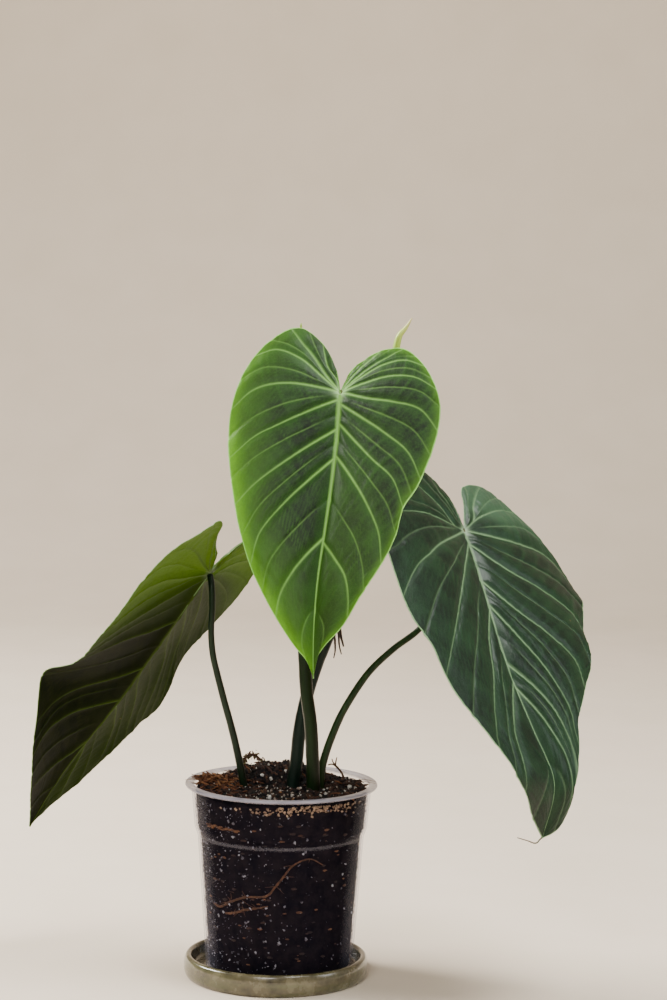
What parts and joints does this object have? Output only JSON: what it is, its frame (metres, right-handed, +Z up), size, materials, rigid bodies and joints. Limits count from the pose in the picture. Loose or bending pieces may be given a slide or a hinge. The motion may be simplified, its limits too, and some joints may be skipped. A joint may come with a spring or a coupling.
{
  "type": "potted splendid philodendron",
  "caption": "House plant with large heart-shaped velvety leaves on upright stems, in a clear nursery pot on a round glazed saucer.",
  "frame": {"origin": "on the pot's axis, on the surface that the saucer stands on", "axes": "+Z up; -Y towards the viewer of the plant's front, +X to that viewer's right; the left leaf leans to -X and the right leaf to +X"},
  "size_m": [0.3835, 0.1988, 0.4466],
  "materials": {
    "glazed_stoneware": "gloss, dark iron specks",
    "clear_plastic": "translucent, slightly scuffed",
    "potting_mix": "matt, crumbly, with white perlite",
    "stem_front_skin": "satin",
    "stem_back_skin": "satin",
    "petiole_left_skin": "satin",
    "petiole_right_skin": "satin",
    "leaf_underside": "satin, lighter veins",
    "leaf_dark": "velvety, pale veins",
    "leaf_bright": "velvety, pale green veins",
    "sheath": "satin",
    "new_leaf": "satin",
    "aerial_root": "matt",
    "dry_husk": "matt",
    "pale_root": "matt",
    "twig": "matt",
    "moss": "matt",
    "perlite": "matt",
    "bark": "matt"
  },
  "bodies": {
    "root": {"saucer": "glazed_stoneware", "pot": "clear_plastic", "soil": "potting_mix", "stem_front": "stem_front_skin", "stem_back": "stem_back_skin", "petiole_left": "petiole_left_skin", "petiole_right": "petiole_right_skin", "petiole_centre": "petiole_right_skin", "leaf_left": "leaf_underside", "leaf_right": "leaf_dark", "leaf_centre": "leaf_bright", "sheath_front": "sheath", "sheath_back": "sheath", "new_leaf_back": "new_leaf", "aerial_root_left": "aerial_root", "aerial_root_middle": "aerial_root", "aerial_root_right": "aerial_root", "sheath_remnant": "dry_husk", "wall_root_long": "pale_root", "wall_root_short": "pale_root", "forked_twig": "twig", "mossy_twig": "moss", "perlite_1": "perlite", "perlite_2": "perlite", "perlite_3": "perlite", "perlite_4": "perlite", "perlite_5": "perlite", "perlite_6": "perlite", "perlite_7": "perlite", "perlite_8": "perlite", "bark_chip_1": "bark", "bark_chip_2": "bark", "bark_chip_3": "bark", "bark_chip_4": "bark", "bark_chip_5": "bark", "bark_chip_6": "bark"}
  },
  "joints": []
}
